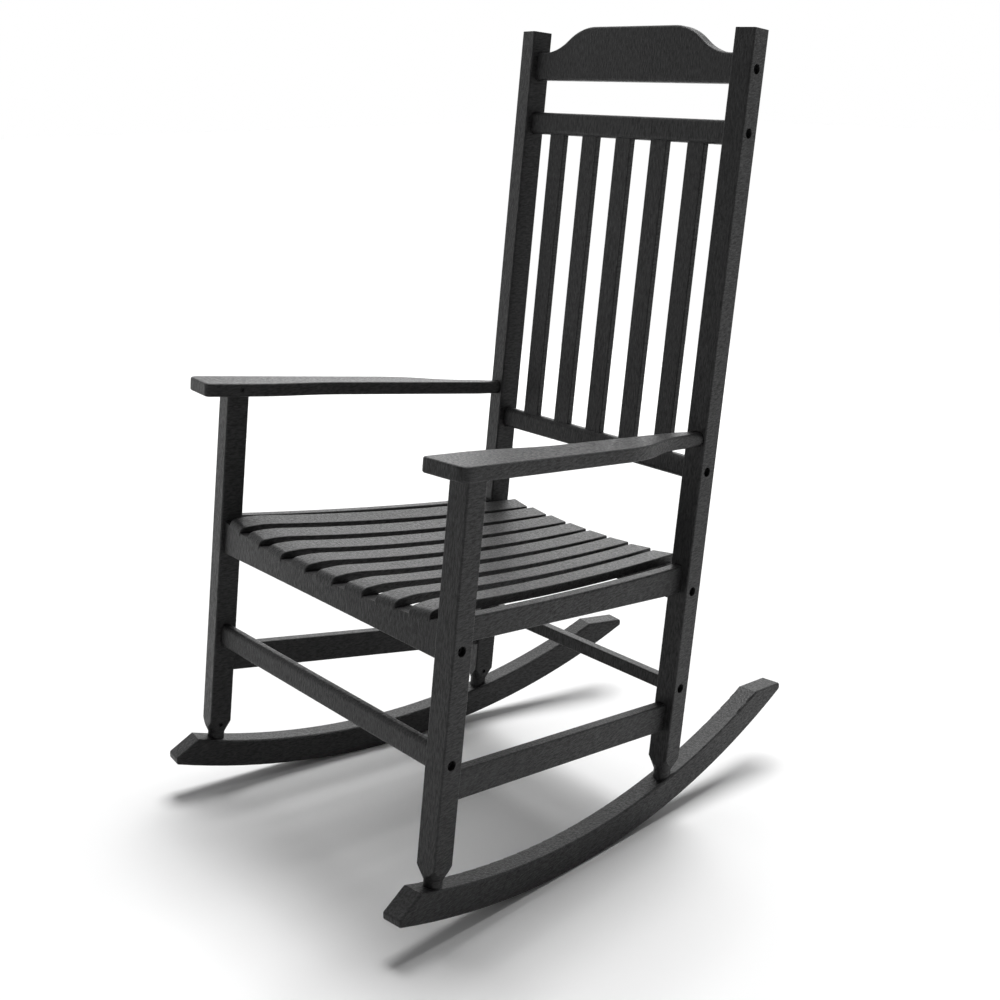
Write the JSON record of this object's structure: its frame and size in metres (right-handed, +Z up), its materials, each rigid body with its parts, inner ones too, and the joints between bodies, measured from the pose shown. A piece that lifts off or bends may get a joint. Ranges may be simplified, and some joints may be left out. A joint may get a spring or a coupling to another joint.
{
  "type": "porch rocking chair",
  "caption": "High-backed porch rocker of solid moulded plastic members: slatted dished seat and slatted back, flat swept arms, square posts doweled into curved rockers.",
  "frame": {"origin": "on the floor, midway between the rockers, on the line where they touch the floor in the pose of the picture", "axes": "+Z up, -Y the way the sitter faces, +X the sitter's left"},
  "size_m": [0.68, 0.8497, 1.16],
  "materials": {
    "charcoal_plastic": "matte, fine embossed grain",
    "screw_steel": "dark plated"
  },
  "bodies": {
    "root": {"arm_left": "charcoal_plastic", "arm_peg_left": "charcoal_plastic", "arm_peg_right": "charcoal_plastic", "arm_right": "charcoal_plastic", "back_foot_peg_left": "charcoal_plastic", "back_foot_peg_right": "charcoal_plastic", "back_post_left": "charcoal_plastic", "back_post_right": "charcoal_plastic", "back_seat_rail": "charcoal_plastic", "back_slat_1": "charcoal_plastic", "back_slat_2": "charcoal_plastic", "back_slat_3": "charcoal_plastic", "back_slat_4": "charcoal_plastic", "back_slat_5": "charcoal_plastic", "crest_rail": "charcoal_plastic", "frame_screws": "screw_steel", "front_foot_peg_left": "charcoal_plastic", "front_foot_peg_right": "charcoal_plastic", "front_post_left": "charcoal_plastic", "front_post_right": "charcoal_plastic", "front_seat_rail": "charcoal_plastic", "front_stretcher": "charcoal_plastic", "lock_screws": "screw_steel", "lower_back_rail": "charcoal_plastic", "rear_screws": "screw_steel", "rear_stretcher": "charcoal_plastic", "rocker_left": "charcoal_plastic", "rocker_right": "charcoal_plastic", "seat_slat_1": "charcoal_plastic", "seat_slat_2": "charcoal_plastic", "seat_slat_3": "charcoal_plastic", "seat_slat_4": "charcoal_plastic", "seat_slat_5": "charcoal_plastic", "seat_slat_6": "charcoal_plastic", "seat_slat_7": "charcoal_plastic", "seat_slat_8": "charcoal_plastic", "side_seat_rail_left": "charcoal_plastic", "side_seat_rail_right": "charcoal_plastic", "side_stretcher_left": "charcoal_plastic", "side_stretcher_right": "charcoal_plastic", "slat_screws": "screw_steel", "upper_back_rail": "charcoal_plastic"}
  },
  "joints": []
}
